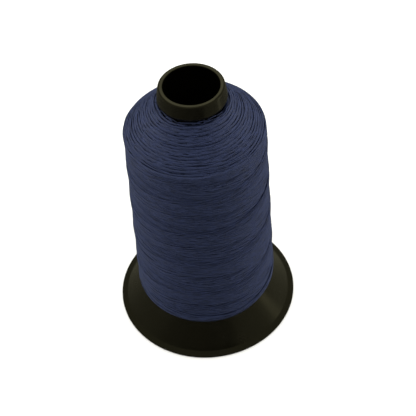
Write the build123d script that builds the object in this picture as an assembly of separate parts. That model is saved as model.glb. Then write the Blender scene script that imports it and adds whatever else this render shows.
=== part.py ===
from build123d import *
import os
from math import cos, radians, tan

# A large sewing-thread spool: a parallel tube with a rounded nose, a hollow coned base that
# snaps onto the tube's foot, and a package of cross-wound thread with a coned shoulder.
# Millimetres, +Z up along the tube, origin at the centre of the base, on the table plane.

# ---- driving dimensions -----------------------------------------------------------------
overall_height = 135.0
base_radius = 42.5
bore_radius = 11.9
fit_clearance = 0.1           # radial, between the tube and the base, and round the thread

# ---- tube -------------------------------------------------------------------------------
tube_radius = 13.4
tube_foot_height = 1.0        # the tube ends just above the table
bore_foot_chamfer = 0.4
nose_top_radius = 13.9
nose_top_rounding = 0.9
nose_bore_rounding = 0.3
nose_foot_radius = 15.05
nose_foot_height = 128.2
nose_foot_rounding = 1.0

# ---- base -------------------------------------------------------------------------------
base_wall = 1.9
rim_height = 1.1
rim_rounding = 0.3
rim_foot_rounding = 0.7         # of the rim's outer lower edge
brim_width = 2.75               # the flatter band inside the rim
brim_rise = 0.8
cone_slope = radians(48)
cone_foot_radius = base_radius - brim_width
cone_foot_height = rim_height + brim_rise
cone_wall_height = base_wall / cos(cone_slope)      # the wall's thickness, measured upright
hub_bore_radius = tube_radius + fit_clearance
hub_radius = hub_bore_radius + base_wall
hub_foot_height = 4.0
hub_top_radius = 15.9
rib_count = 8
rib_thickness = 1.4
rib_foot_radius = 36.0
first_rib_angle = 22.5
rib_bite = 0.5                # how far a rib runs into the walls that it stiffens

# ---- snap joint and keys between the tube and the base ----------------------------------
snap_bead_rise = 0.7
snap_bead_height = 1.7
finger_slot_count = 4
finger_slot_width = 1.5
finger_slot_top = 11.0
first_finger_slot_angle = 45
key_count = 4
key_width = 2.0
key_rise = 0.8
key_length = 14.0

# ---- thread package ---------------------------------------------------------------------
package_top_height = 127.9    # just under the nose
package_top_radius = 15.0
shoulder_radius = 30.4
shoulder_height = 111.5
shoulder_rounding = 1.2
body_foot_radius = 32.9       # the body widens slightly towards the base
body_foot_rounding = 3.0


def cone_height(radius):
    """The height of the base's coned face at a radius."""
    return cone_foot_height + (cone_foot_radius - radius) * tan(cone_slope)


hub_top_height = cone_height(hub_top_radius)


def turned(corners):
    """The solid turned round Z from a closed outline of (radius, height[, rounding]) corners."""
    face = make_face(Polyline(*[corner[:2] for corner in corners], close=True))
    for radius, height, *rounding in corners:
        if rounding:
            nearest = face.vertices().sort_by_distance((radius, height, 0))[0]
            face = fillet(nearest, rounding[0])
    return revolve(Plane.XZ * face, Axis.Z, 360)


def radial_bar(inner, outer, width, low, high):
    """A bar along +X between two radii and two heights."""
    bar = Box(outer - inner, width, high - low, align=(Align.MIN, Align.CENTER, Align.MIN))
    return Pos(inner, 0, low) * bar


def around(count, piece, first_angle=0.0):
    """Copies of a piece at equal angles round Z."""
    return [Rot(0, 0, first_angle + 360 * i / count) * piece for i in range(count)]


def tube():
    """The parallel tube: nose, stop ring that seats on the base, keys and snap bead."""
    bead_top = hub_foot_height - fit_clearance
    bead_foot = bead_top - snap_bead_height
    bead_radius = tube_radius + snap_bead_rise
    stop_height = hub_top_height
    body = turned([
        (bore_radius + bore_foot_chamfer, tube_foot_height),
        (tube_radius, tube_foot_height),
        (tube_radius, bead_foot),
        (bead_radius, bead_foot + snap_bead_rise),
        (bead_radius, bead_top),
        (tube_radius, bead_top),
        (tube_radius, stop_height),
        (hub_top_radius, stop_height),
        (tube_radius, cone_height(tube_radius)),
        (tube_radius, nose_foot_height),
        (nose_foot_radius, nose_foot_height, nose_foot_rounding),
        (nose_top_radius, overall_height, nose_top_rounding),
        (bore_radius, overall_height, nose_bore_rounding),
        (bore_radius, tube_foot_height + bore_foot_chamfer),
    ])
    key = radial_bar(
        tube_radius - snap_bead_rise,
        tube_radius + key_rise,
        key_width,
        stop_height - key_length,
        stop_height,
    )
    return body + around(key_count, key)


def rib():
    """One radial rib under the coned base, along +X."""
    hub_side = hub_radius - rib_bite
    under_cone = rib_bite - cone_wall_height
    outline = Polyline(
        (hub_side, hub_foot_height),
        (rib_foot_radius - rib_bite, hub_foot_height),
        (rib_foot_radius, cone_height(rib_foot_radius) + under_cone),
        (hub_side, cone_height(hub_side) + under_cone),
        close=True,
    )
    return extrude(Plane.XZ * make_face(outline), rib_thickness / 2, both=True)


def base():
    """The coned base: rim, flatter brim, cone, hub with flexing fingers, and ribs beneath."""
    inner_foot_radius = cone_foot_radius + (cone_foot_height - cone_wall_height) / tan(cone_slope)
    cone_under_hub = cone_height(hub_radius) - cone_wall_height
    shell = turned([
        (inner_foot_radius, 0, rim_rounding),
        (base_radius, 0, rim_foot_rounding),
        (base_radius, rim_height, rim_rounding),
        (cone_foot_radius, cone_foot_height),
        (hub_top_radius, hub_top_height),
        (hub_bore_radius, hub_top_height),
        (hub_bore_radius, hub_foot_height),
        (hub_radius, hub_foot_height),
        (hub_radius, cone_under_hub),
    ])
    finger_slot = radial_bar(
        bore_radius,
        hub_radius + rib_bite,
        finger_slot_width,
        0,
        finger_slot_top,
    )
    key_slot = radial_bar(
        bore_radius,
        tube_radius + key_rise + fit_clearance,
        key_width + 2 * fit_clearance,
        hub_top_height - key_length - fit_clearance,
        hub_top_height,
    )
    body = shell + around(rib_count, rib(), first_rib_angle)
    body -= around(finger_slot_count, finger_slot, first_finger_slot_angle)
    return body - around(key_count, key_slot)


def thread_package():
    """The wound thread as one closed body, from the cone to just under the nose."""
    inner_radius = tube_radius + fit_clearance
    lift = fit_clearance / cos(cone_slope)
    return turned([
        (inner_radius, cone_height(inner_radius) + lift),
        (body_foot_radius, cone_height(body_foot_radius) + lift, body_foot_rounding),
        (shoulder_radius, shoulder_height, shoulder_rounding),
        (package_top_radius, package_top_height),
        (inner_radius, package_top_height),
    ])


pieces = {"tube": tube(), "base": base(), "thread_package": thread_package()}

os.makedirs("parts", exist_ok=True)
for name, solid in pieces.items():
    solid.label = name
    export_step(solid, f"parts/{name}.step")
    print(name, "volume", round(solid.volume), "mm3")
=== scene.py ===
"""The looks of a large spool of sewing thread: real strands wound on a black moulded tube and base."""
import math

import bpy
import numpy as np
from mathutils import Euler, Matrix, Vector


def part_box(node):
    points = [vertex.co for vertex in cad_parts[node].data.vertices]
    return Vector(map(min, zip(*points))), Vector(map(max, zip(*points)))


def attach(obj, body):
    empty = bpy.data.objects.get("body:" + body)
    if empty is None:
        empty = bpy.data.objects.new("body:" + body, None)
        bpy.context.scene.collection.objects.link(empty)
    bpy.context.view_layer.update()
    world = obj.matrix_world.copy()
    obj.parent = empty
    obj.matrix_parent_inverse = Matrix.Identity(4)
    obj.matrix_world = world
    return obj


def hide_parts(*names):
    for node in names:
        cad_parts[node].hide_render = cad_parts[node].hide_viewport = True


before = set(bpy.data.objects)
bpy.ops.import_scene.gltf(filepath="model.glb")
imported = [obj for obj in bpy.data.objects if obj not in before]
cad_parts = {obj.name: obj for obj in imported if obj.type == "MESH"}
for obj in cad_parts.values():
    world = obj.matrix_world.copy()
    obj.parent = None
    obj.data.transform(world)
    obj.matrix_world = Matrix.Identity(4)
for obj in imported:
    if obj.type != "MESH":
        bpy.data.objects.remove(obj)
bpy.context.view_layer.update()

# ---- sizes, in metres, from the frame where it has them ---------------------------------
SPOOL_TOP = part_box("tube")[1].z
BASE_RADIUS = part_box("base")[1].x
PACKAGE_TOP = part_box("thread_package")[1].z
TUBE_RADIUS = 0.0135              # where the thread starts, 0.1 mm clear of the tube
CONE_ANGLE = math.radians(48)
CONE_FOOT_RADIUS = BASE_RADIUS - 0.00275
CONE_FOOT_HEIGHT = 0.0019

# ---- colours and the room ---------------------------------------------------------------
# The thread's base colour runs between these two: lighter and darker along the thread as painted sheen,
# darker in the ply grooves as painted shade.
THREAD_DARK = (0.0105, 0.0150, 0.0370)
THREAD_LIGHT = (0.0220, 0.0310, 0.0800)
PLASTIC_DARK = (0.0045, 0.0040, 0.0028)
PLASTIC_DUSTY = (0.0120, 0.0110, 0.0085)
ROOM_TINT = (1, 0.97, 0.66)
ROOM_AROUND = [                   # (direction, brightness), with a dark screen to the front
    (0, 0.24), (0.292, 0.20), (0.353, 0.13), (0.425, 0.10), (0.5, 0.060), (0.583, 0.040),
    (0.589, 0.18), (0.689, 0.25), (0.728, 0.31), (0.736, 0.66), (0.756, 0.62), (0.768, 0.3), (1, 0.24),
]

# ---- the winding ------------------------------------------------------------------------
THREAD_WIDTH = 0.00050
THREAD_HEIGHT = 0.00042           # pressed a little flat by the winding tension
NECK_RADIUS = 0.0161              # where the shoulder starts, just under the nose
NECK_HEIGHT = PACKAGE_TOP - 0.0014
INNER_DEPTH = 0.0011              # of the plain inner winding below the outermost strands
SHOULDER_RADIUS = 0.0304
SHOULDER_HEIGHT = 0.1114
SHOULDER_ROUNDING = 0.0008
FOOT_RADIUS = 0.0326
FOOT_ROUNDING = 0.0030
LAYERS = 18                       # full covers of the package
STROKES_PER_LAYER = 40            # double strokes side by side that make one cover
TURNS_PER_STROKE = 10             # turns in one double stroke, down and up
TURN_STEPS = 96
REVERSAL_SHARPNESS = 0.998        # 1 would turn the thread round at a point
SHOULDER_STEPS = 13               # times the stroke's upper end is set lower as the package fills
LAST_RIDGE_HEIGHT = 0.0978        # where the last up stroke passes the front of the package
STRAND_SIDES = 6
COVER_THAT_HIDES = 0.00015        # thread under more than this is left out
WINDING_SEED = 7
ZONE_TOPS = {"winding_foot": 0.034, "winding_lower": 0.058, "winding_middle": 0.084,
             "winding_upper": SHOULDER_HEIGHT - 0.0005, "winding_shoulder": SPOOL_TOP}

# ---- camera -----------------------------------------------------------------------------
CAMERA_ELEVATION = math.radians(48.32)
CAMERA_ROLL = math.radians(-4.34)
CAMERA_DISTANCE = 0.5103
CAMERA_TARGET = Vector((0, 0, 0.065))
CAMERA_SIDEWAYS = 0.00305
CAMERA_DOWNWARDS = 0.0041
CAMERA_LENS = 97.07

# ---- lights -----------------------------------------------------------------------------
SKYLIGHT_STRENGTH = 4.2
SOFTBOXES = [                     # name, azimuth and elevation in degrees, distance, size, power
    ("softbox_back", 180, 62, 1.4, 1.6, 19),
    ("softbox_left", -95, 20, 1.2, 1.3, 20),
    ("softbox_right", 95, 20, 1.2, 1.3, 21),
    ("softbox_front", 0, 55, 1.4, 1.6, 7),
]


# ---- shader maths -----------------------------------------------------------------------
class Socket:
    """A shader socket. Arithmetic on it adds the Math nodes that work it out."""

    def __init__(self, socket):
        self.socket = socket
        self.tree = socket.id_data

    def node(self, kind, settings, inputs, output=0):
        """Adds a node to this socket's tree: its settings first, then its sockets by name or number."""
        made = self.tree.nodes.new(kind)
        for name, setting in settings.items():
            if name == "stops":
                set_stops(made.color_ramp, setting)
            else:
                setattr(made, name, setting)
        for key, value in inputs.items():
            Socket(made.inputs[key]).take(value)
        return Socket(made.outputs[output])

    def take(self, value):
        """Gives this input a constant, or links it to another socket."""
        if isinstance(value, Socket):
            self.tree.links.new(value.socket, self.socket)
        else:
            self.socket.default_value = value

    def maths(self, operation, *others):
        return self.node("ShaderNodeMath", {"operation": operation}, dict(enumerate((self, *others))))

    def __add__(self, other):
        return self.maths("ADD", other)

    def __sub__(self, other):
        return self.maths("SUBTRACT", other)

    def __rsub__(self, other):
        return self * -1 + other

    def __mul__(self, other):
        return self.maths("MULTIPLY", other)

    def __truediv__(self, other):
        return self.maths("DIVIDE", other)

    def __pow__(self, other):
        return self.maths("POWER", other)

    __radd__ = __add__
    __rmul__ = __mul__

    def rise(self, low, high):
        """0 up to low, 1 from high on, and a smooth rise between them."""
        inputs = {"Value": self, "From Min": low, "From Max": high}
        return self.node("ShaderNodeMapRange", {"interpolation_type": "SMOOTHSTEP"}, inputs)

    def split(self, *names):
        """The named parts of a vector."""
        made = self.node("ShaderNodeSeparateXYZ", {}, {0: self}).socket.node
        return [Socket(made.outputs[name]) for name in names]

    def tinted(self, dark, light):
        """The colour between dark, where this is 0, and light, where it is 1."""
        settings = {"data_type": "RGBA"}
        return self.node("ShaderNodeMix", settings, {0: self, 6: (*dark, 1), 7: (*light, 1)}, output=2)


def set_stops(ramp, stops):
    """Gives a colour ramp its (position, grey level) stops."""
    for _ in range(len(stops) - len(ramp.elements)):
        ramp.elements.new(0.5)
    for element, (position, level) in zip(ramp.elements, stops):
        element.position = position
        element.color = (level, level, level, 1)


def new_material(name, constants):
    """A material with constants on its shader's own sockets, and those sockets by name."""
    material = bpy.data.materials.new(name)
    material.use_nodes = True
    inputs = material.node_tree.nodes["Principled BSDF"].inputs
    shader = {socket.name: Socket(socket) for socket in inputs}
    for socket, value in constants.items():
        shader[socket].take(value)
    return material, shader


# ---- materials --------------------------------------------------------------------------
def navy_thread():
    """Navy thread of three twisted plies, its roughness uneven along its length; its colour is lighter and
    darker along its length as painted sheen, and darker in the grooves between plies as painted shade.
    """
    material, shader = new_material("navy_thread", {
        "Specular IOR Level": 0.15, "Sheen Weight": 0.02, "Sheen Roughness": 0.4,
        "Sheen Tint": (0.55, 0.65, 1, 1),
    })
    start = shader["Normal"]
    place = start.node("ShaderNodeUVMap", {"uv_map": "along_thread"}, {})
    along, around = place.split("X", "Y")
    # Painted sheen: this noise along the thread makes the base colour lighter and darker, and it also varies
    # the roughness.
    streak_noise = start.node("ShaderNodeTexNoise", {"noise_dimensions": "1D"}, {"W": along / 0.026, "Detail": 2.0})
    sheen_painted_and_rough = streak_noise.rise(0.3, 0.7)
    # The ply crests and grooves: the bump height, and painted shade that darkens the base colour in the
    # grooves.
    ply = ((along / 0.0021 + around) * (6 * math.pi)).maths("SINE") * 0.5 + 0.5
    # Base colour mix: painted sheen along the thread plus painted shade in the ply grooves.
    painted_sheen_and_groove_shade = sheen_painted_and_rough * 0.7 + ply * 0.3
    shader["Base Color"].take(painted_sheen_and_groove_shade.tinted(THREAD_DARK, THREAD_LIGHT))
    shader["Roughness"].take(sheen_painted_and_rough * 0.25 + 0.4)
    bump = {"Height": ply, "Strength": 0.7, "Distance": 0.00008}
    shader["Normal"].take(start.node("ShaderNodeBump", {}, bump))
    return material


def black_plastic():
    """Moulded black plastic: smooth, with a fine grain, faint mould lines and dull patches."""
    material, shader = new_material("black_plastic", {
        "Specular IOR Level": 0.5, "Specular Tint": (1, 0.97, 0.78, 1),
    })
    start = shader["Normal"]
    place = start.node("ShaderNodeTexCoord", {}, {}, output="Object")
    x, y, z = place.split("X", "Y", "Z")
    radius = (x * x + y * y) ** 0.5
    patches = start.node("ShaderNodeTexNoise", {}, {"Vector": place, "Scale": 75, "Detail": 5.0})
    grain = start.node("ShaderNodeTexNoise", {}, {"Vector": place, "Scale": 1500, "Detail": 2.0})
    rings = start.node("ShaderNodeTexNoise", {"noise_dimensions": "1D"}, {
        "W": radius + z, "Scale": 1800, "Detail": 3.0,
    })
    dust = grain.rise(0.66, 0.8) * patches.rise(0.45, 0.7)
    shader["Base Color"].take((patches.rise(0.4, 0.8) * 0.5 + dust * 0.5).tinted(PLASTIC_DARK, PLASTIC_DUSTY))
    shader["Roughness"].take(patches.rise(0.3, 0.8) * 0.14 + grain * 0.08 + 0.1)
    height = grain * 0.6 + rings * 0.4
    bump = {"Height": height, "Strength": 0.35, "Distance": 0.00002}
    shader["Normal"].take(start.node("ShaderNodeBump", {}, bump))
    return material


def pale_floor():
    """Plain pale paper."""
    material, shader = new_material("pale_floor", {"Roughness": 0.9})
    start = shader["Normal"]
    place = start.node("ShaderNodeTexCoord", {}, {}, output="Object")
    mottle = start.node("ShaderNodeTexNoise", {}, {"Vector": place, "Scale": 30})
    shader["Base Color"].take(mottle.tinted((0.88, 0.88, 0.88), (0.9, 0.9, 0.9)))
    return material


# ---- the thread -------------------------------------------------------------------------
def cone_height(radius):
    """The height of the base's coned face at a radius."""
    return CONE_FOOT_HEIGHT + (CONE_FOOT_RADIUS - radius) * math.tan(CONE_ANGLE)


class HeightField:
    """How far out the thread laid so far reaches, by angle and by height up the package."""

    def __init__(self):
        self.cell = THREAD_WIDTH / 4
        self.heights = np.arange(0.5, (SPOOL_TOP + THREAD_WIDTH) / self.cell) * self.cell
        on_cone = CONE_FOOT_RADIUS - (self.heights - CONE_FOOT_HEIGHT) / math.tan(CONE_ANGLE)
        self.reach = np.tile(np.maximum(TUBE_RADIUS, on_cone), (TURN_STEPS, 1))
        self.rows = np.arange(TURN_STEPS)

    def under(self, height):
        """For each cell under a strand: its column, and how far the strand bulges over it."""
        place = height / self.cell - 0.5
        nearest = np.rint(place).astype(int)
        for offset in (-2, -1, 0, 1, 2):
            across = (nearest + offset - place) * self.cell / (THREAD_WIDTH / 2)
            bulge = THREAD_HEIGHT / 2 * np.sqrt(np.clip(1 - across**2, 0, 1))
            yield nearest + offset, np.where(np.abs(across) < 1, bulge, -1.0)

    def resting_radius(self, height):
        """Where the middle of a strand at these heights comes to rest on the thread below."""
        rest = np.zeros(TURN_STEPS)
        for column, bulge in self.under(height):
            rest = np.maximum(rest, self.reach[self.rows, column] + bulge)
        return rest

    def lay(self, height, radius):
        """Adds one turn of strand."""
        for column, bulge in self.under(height):
            reach = self.reach[self.rows, column]
            self.reach[self.rows, column] = np.maximum(reach, radius + bulge)

    def cover(self, height, radius):
        """How much thread lies over each strand where it is barest."""
        barest = np.full(height.shape, 1.0)
        for column, bulge in self.under(height):
            over = self.reach[self.rows, column] - radius - bulge
            barest = np.where(bulge > 0, np.minimum(barest, over), barest)
        return barest


def rounded_drop(distance, rounding):
    """How far a rounded edge falls back from its corner, at a distance from the end."""
    inside = np.clip(1 - distance / rounding, 0, 1)
    return rounding * (1 - np.sqrt(1 - inside**2))


def wind_package():
    """Lays every turn of the package, and returns each turn's heights and radii and the field."""
    strokes = LAYERS * STROKES_PER_LAYER
    turns_per_stroke = TURNS_PER_STROKE - 1 / STROKES_PER_LAYER
    total_turns = strokes * turns_per_stroke
    chance = np.random.default_rng(WINDING_SEED)
    low_end, high_end, waver, wander, shift = chance.normal(0, 1, (5, strokes + 3))
    bridging = math.cos(2 * math.pi / TURN_STEPS)
    shoulder_fall = (NECK_HEIGHT - SHOULDER_HEIGHT) / (SHOULDER_RADIUS - NECK_RADIUS)
    foot_lift = FOOT_ROUNDING * (1 / math.cos(CONE_ANGLE) - 1)
    field = HeightField()
    heights, radii = [], []
    for turn in range(int(total_turns)):
        turned = turn + field.rows / TURN_STEPS
        growth = turned / total_turns
        stroke = turned / turns_per_stroke
        top_radius = TUBE_RADIUS + (SHOULDER_RADIUS - TUBE_RADIUS) * growth
        foot_radius = TUBE_RADIUS + (FOOT_RADIUS - TUBE_RADIUS) * growth
        high = NECK_HEIGHT - np.maximum(top_radius - NECK_RADIUS, 0) * shoulder_fall
        low = cone_height(foot_radius - FOOT_ROUNDING) + foot_lift
        swing = np.arcsin(REVERSAL_SHARPNESS * np.cos(2 * math.pi * stroke))
        share = 0.5 + swing / (2 * math.asin(REVERSAL_SHARPNESS))
        height = low + (high - low) * share
        this = stroke.astype(int)
        nearest = (stroke + 0.5).astype(int)
        step = (growth * SHOULDER_STEPS) % 1 - 0.5
        height += 0.0003 * step * np.exp((height - high) / 0.003)
        height += 0.0016 * np.abs(low_end[this]) * np.exp((low - height) / 0.004)
        height -= 0.0004 * np.abs(high_end[nearest]) * np.exp((height - high) / 0.002)
        height += 0.00006 * waver[this] * np.sin(6 * math.pi * stroke + 6 * wander[this])
        height += 0.00013 * shift[this]
        upward = np.clip((height - low) / (high - low), 0, 1)
        nominal = foot_radius + (top_radius - foot_radius) * upward
        nominal -= rounded_drop(height - low, FOOT_ROUNDING)
        nominal -= rounded_drop(high - height, SHOULDER_ROUNDING)
        rest = field.resting_radius(height)
        for _ in range(3):
            chord = (np.roll(rest, 1) + np.roll(rest, -1)) / 2 * bridging
            rest = np.maximum(rest, chord)
        radius = np.clip(rest, nominal - 0.25 * THREAD_WIDTH, nominal + 0.4 * THREAD_WIDTH)
        field.lay(height, radius)
        heights.append(height)
        radii.append(radius)
    return np.array(heights), np.array(radii), field


def thread_path(heights, radii):
    """The thread's middle line and its outward direction, turned so the last ridge is in front."""
    height = heights.ravel()
    angle = 2 * math.pi * np.arange(len(height)) / TURN_STEPS
    last_rise = len(height) - TURNS_PER_STROKE * TURN_STEPS // 2
    angle -= angle[last_rise + int(np.argmin(np.abs(height[last_rise:] - LAST_RIDGE_HEIGHT)))]
    level = np.zeros(len(height))
    outward = np.stack([np.sin(angle), -np.cos(angle), level], axis=1)
    return outward * radii.reshape(-1, 1) + np.stack([level, level, height], axis=1), outward


def showing_runs(showing, margin=2):
    """The (first, last) samples of each stretch of thread that shows, with a margin at each end."""
    wide = showing.copy()
    for step in range(1, margin + 1):
        wide[step:] |= showing[:-step]
        wide[:-step] |= showing[step:]
    ends = np.flatnonzero(np.diff(np.concatenate(([0], wide, [0]))))
    return [(first, last) for first, last in ends.reshape(-1, 2) if last - first > 2 * margin]


def strand_mesh(name, points, outward, runs):
    """One mesh of closed strands through runs of points, flattened along outward.

    Its UV map runs in metres along the thread and in turns around it.
    """
    along = np.concatenate(([0], np.cumsum(np.linalg.norm(np.diff(points, axis=0), axis=1))))
    ring = np.arange(STRAND_SIDES)
    beside = (ring + 1) % STRAND_SIDES
    angles = math.pi / 2 + 2 * math.pi * ring / STRAND_SIDES
    across = np.cos(angles) * THREAD_WIDTH / 2
    out = np.sin(angles) * THREAD_HEIGHT / 2
    corners, walls, caps, lengths = [], [], [], []
    count = 0
    for first, last in runs:
        middle, normal = points[first:last], outward[first:last]
        side = np.cross(np.gradient(middle, axis=0), normal)
        side /= np.linalg.norm(side, axis=1)[:, None]
        rings = middle[:, None] + side[:, None] * across[:, None] + normal[:, None] * out[:, None]
        corners.append(rings.reshape(-1, 3))
        start = count + np.arange(last - first - 1)[:, None] * STRAND_SIDES
        quads = [start + ring, start + beside, start + beside + STRAND_SIDES, start + ring + STRAND_SIDES]
        walls.append(np.stack(quads, axis=-1).reshape(-1, 4))
        near, far = along[first:last - 1], along[first + 1:last]
        lengths.append(np.repeat(np.stack([near, near, far, far], axis=1), STRAND_SIDES, axis=0))
        count += (last - first) * STRAND_SIDES
        caps += [start[0] + ring[::-1], count - STRAND_SIDES + ring]
    walls = np.concatenate(walls)
    loops = np.concatenate([walls.ravel(), *caps])
    sizes = np.concatenate([np.full(len(walls), 4), np.full(len(caps), STRAND_SIDES)])
    mesh = bpy.data.meshes.new(name)
    mesh.vertices.add(count)
    mesh.vertices.foreach_set("co", np.concatenate(corners).astype(np.float32).ravel())
    mesh.loops.add(len(loops))
    mesh.loops.foreach_set("vertex_index", loops.astype(np.int32))
    mesh.polygons.add(len(sizes))
    mesh.polygons.foreach_set("loop_start", (np.cumsum(sizes) - sizes).astype(np.int32))
    mesh.polygons.foreach_set("loop_total", sizes.astype(np.int32))
    mesh.polygons.foreach_set("use_smooth", np.ones(len(sizes), bool))
    mesh.update(calc_edges=True)
    turns = np.tile(np.stack([ring, ring + 1, ring + 1, ring], axis=1) / STRAND_SIDES, (len(walls), 1))
    places = np.zeros((len(loops), 2))
    places[:walls.size, 0] = np.concatenate(lengths).ravel()
    places[:walls.size, 1] = turns[:len(walls)].ravel()
    layout = mesh.uv_layers.new(name="along_thread")
    layout.data.foreach_set("uv", places.astype(np.float32).ravel())
    return mesh


def add_object(name, data):
    thing = bpy.data.objects.new(name, data)
    bpy.context.scene.collection.objects.link(thing)
    return thing


def turned_mesh(name, corners, steps):
    """A closed ring-shaped mesh: an outline of (radius, height) corners turned about the axis."""
    angles = 2 * math.pi * np.arange(steps) / steps
    radius, height = np.array(corners).T
    rows = [np.outer(np.sin(angles), radius), -np.outer(np.cos(angles), radius), np.tile(height, (steps, 1))]
    points = np.stack(rows, axis=-1).reshape(-1, 3)
    size = len(corners)
    faces = []
    for step in range(steps):
        here, there = step * size, (step + 1) % steps * size
        for corner in range(size):
            beside = (corner + 1) % size
            faces.append((here + corner, there + corner, there + beside, here + beside))
    mesh = bpy.data.meshes.new(name)
    mesh.from_pydata(points.tolist(), [], faces)
    mesh.polygons.foreach_set("use_smooth", np.ones(len(faces), bool))
    mesh.update()
    return mesh


def inner_winding(material):
    """The dark body of thread just under the strands that show."""
    inset = INNER_DEPTH
    foot = FOOT_RADIUS - inset
    corners = [
        (TUBE_RADIUS + 0.0002, cone_height(TUBE_RADIUS + 0.0002) + 0.0006),
        (foot - FOOT_ROUNDING, cone_height(foot - FOOT_ROUNDING) + 0.0006),
        (foot - 0.001, cone_height(foot) + 0.0015),
        (foot, cone_height(foot) + 0.004),
        (SHOULDER_RADIUS - inset, SHOULDER_HEIGHT - inset),
        (NECK_RADIUS - 0.0004, NECK_HEIGHT - inset),
        (TUBE_RADIUS + 0.0002, NECK_HEIGHT - inset),
    ]
    mesh = turned_mesh("winding_inner", corners, 96)
    mesh.materials.append(material)
    return thread_piece("winding_inner", mesh)


def thread_piece(name, mesh):
    """A piece of the wound thread, which takes the place of the plain package."""
    piece = add_object(name, mesh)
    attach(piece, "root")
    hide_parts("thread_package")
    return piece


def winding_pieces(material):
    """The strands that show, in zones up the package."""
    heights, radii, field = wind_package()
    cover = np.array([field.cover(height, radius) for height, radius in zip(heights, radii)])
    points, outward = thread_path(heights, radii)
    runs = showing_runs(cover.ravel() < COVER_THAT_HIDES)
    bottom = 0
    pieces = []
    for name, top in ZONE_TOPS.items():
        in_zone = [run for run in runs if bottom <= points[sum(run) // 2][2] < top]
        mesh = strand_mesh(name, points, outward, in_zone)
        mesh.materials.append(material)
        pieces.append(thread_piece(name, mesh))
        bottom = top
    return pieces


# ---- studio -----------------------------------------------------------------------------
def add_camera():
    back = Vector((0, -math.cos(CAMERA_ELEVATION), math.sin(CAMERA_ELEVATION)))
    above = Vector((0, math.sin(CAMERA_ELEVATION), math.cos(CAMERA_ELEVATION)))
    data = bpy.data.cameras.new("camera")
    data.lens = CAMERA_LENS
    data.clip_start = 0.01
    camera = add_object("camera", data)
    camera.location = CAMERA_TARGET + back * CAMERA_DISTANCE - above * CAMERA_DOWNWARDS
    camera.location.x += CAMERA_SIDEWAYS
    tilt = Euler((math.pi / 2 - CAMERA_ELEVATION, 0, 0)).to_matrix()
    camera.rotation_euler = (tilt @ Euler((0, 0, CAMERA_ROLL)).to_matrix()).to_euler()
    bpy.context.scene.camera = camera


def add_floor():
    bpy.ops.mesh.primitive_plane_add(size=8)
    floor = bpy.context.object
    floor.name = "floor"
    floor.visible_glossy = False
    floor.data.materials.append(pale_floor())
    return floor


def add_room():
    """A dim room: dark in front, paler at the sides and the back, palest high at the back."""
    world = bpy.data.worlds.new("room")
    bpy.context.scene.world = world
    world.use_nodes = True
    inputs = world.node_tree.nodes["Background"].inputs
    start = Socket(inputs["Strength"])
    right, back, up = start.node("ShaderNodeTexCoord", {}, {}).split("X", "Y", "Z")
    turned = right.maths("ARCTAN2", 0 - back) / (2 * math.pi) + 0.5
    walls = start.node("ShaderNodeValToRGB", {"stops": ROOM_AROUND}, {0: turned})
    lamp = back.rise(0.35, 0.6) * (1 - right.maths("ABSOLUTE").rise(0.12, 0.35))
    ceiling = lamp * 0.85 + 0.26
    overhead = up.rise(0.45, 0.75)
    low_down = 1 - up.rise(-0.65, -0.3)
    level = (walls * (1 - overhead) + ceiling * overhead) * (1 - low_down * 0.7)
    seen = start.node("ShaderNodeLightPath", {}, {}, output="Is Camera Ray")
    start.take(level * (1 - seen) + seen)
    Socket(inputs["Color"]).take(seen.tinted(ROOM_TINT, (1, 1, 1)))


def add_skylight(strength, receivers):
    """Even, nearly shadowless light from above."""
    data = bpy.data.lights.new("skylight", "SUN")
    data.energy = strength
    data.angle = math.radians(120)
    sky = add_object("skylight", data)
    sky.visible_camera = False
    sky.light_linking.receiver_collection = receivers


def add_softbox(name, azimuth_degrees, elevation_degrees, distance, size, power, receivers=None):
    """A soft square lamp that faces the spool and isn't itself seen."""
    data = bpy.data.lights.new(name, "AREA")
    data.size = size
    data.energy = power
    lamp = add_object(name, data)
    a, e = math.radians(azimuth_degrees), math.radians(elevation_degrees)
    away = Vector((math.sin(a) * math.cos(e), -math.cos(a) * math.cos(e), math.sin(e)))
    lamp.location = CAMERA_TARGET + away * distance
    lamp.rotation_mode = "QUATERNION"
    lamp.rotation_quaternion = away.to_track_quat("Z", "Y")
    lamp.visible_camera = False
    if receivers:
        lamp.light_linking.receiver_collection = receivers
    return lamp


# ---- put together -----------------------------------------------------------------------
thread = navy_thread()
plastic = black_plastic()
winding = [*winding_pieces(thread), inner_winding(thread)]
for node in ("tube", "base"):
    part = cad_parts[node]
    part.data.materials.clear()
    part.data.materials.append(plastic)

add_camera()
floor = add_floor()
add_room()
lit_thread = bpy.data.collections.new("lit_thread")
for thing in winding:
    lit_thread.objects.link(thing)
lit_floor = bpy.data.collections.new("lit_floor")
lit_floor.objects.link(floor)
add_skylight(SKYLIGHT_STRENGTH, lit_floor)
for softbox in SOFTBOXES:
    add_softbox(*softbox, lit_thread)
bpy.context.scene.view_settings.view_transform = "Standard"
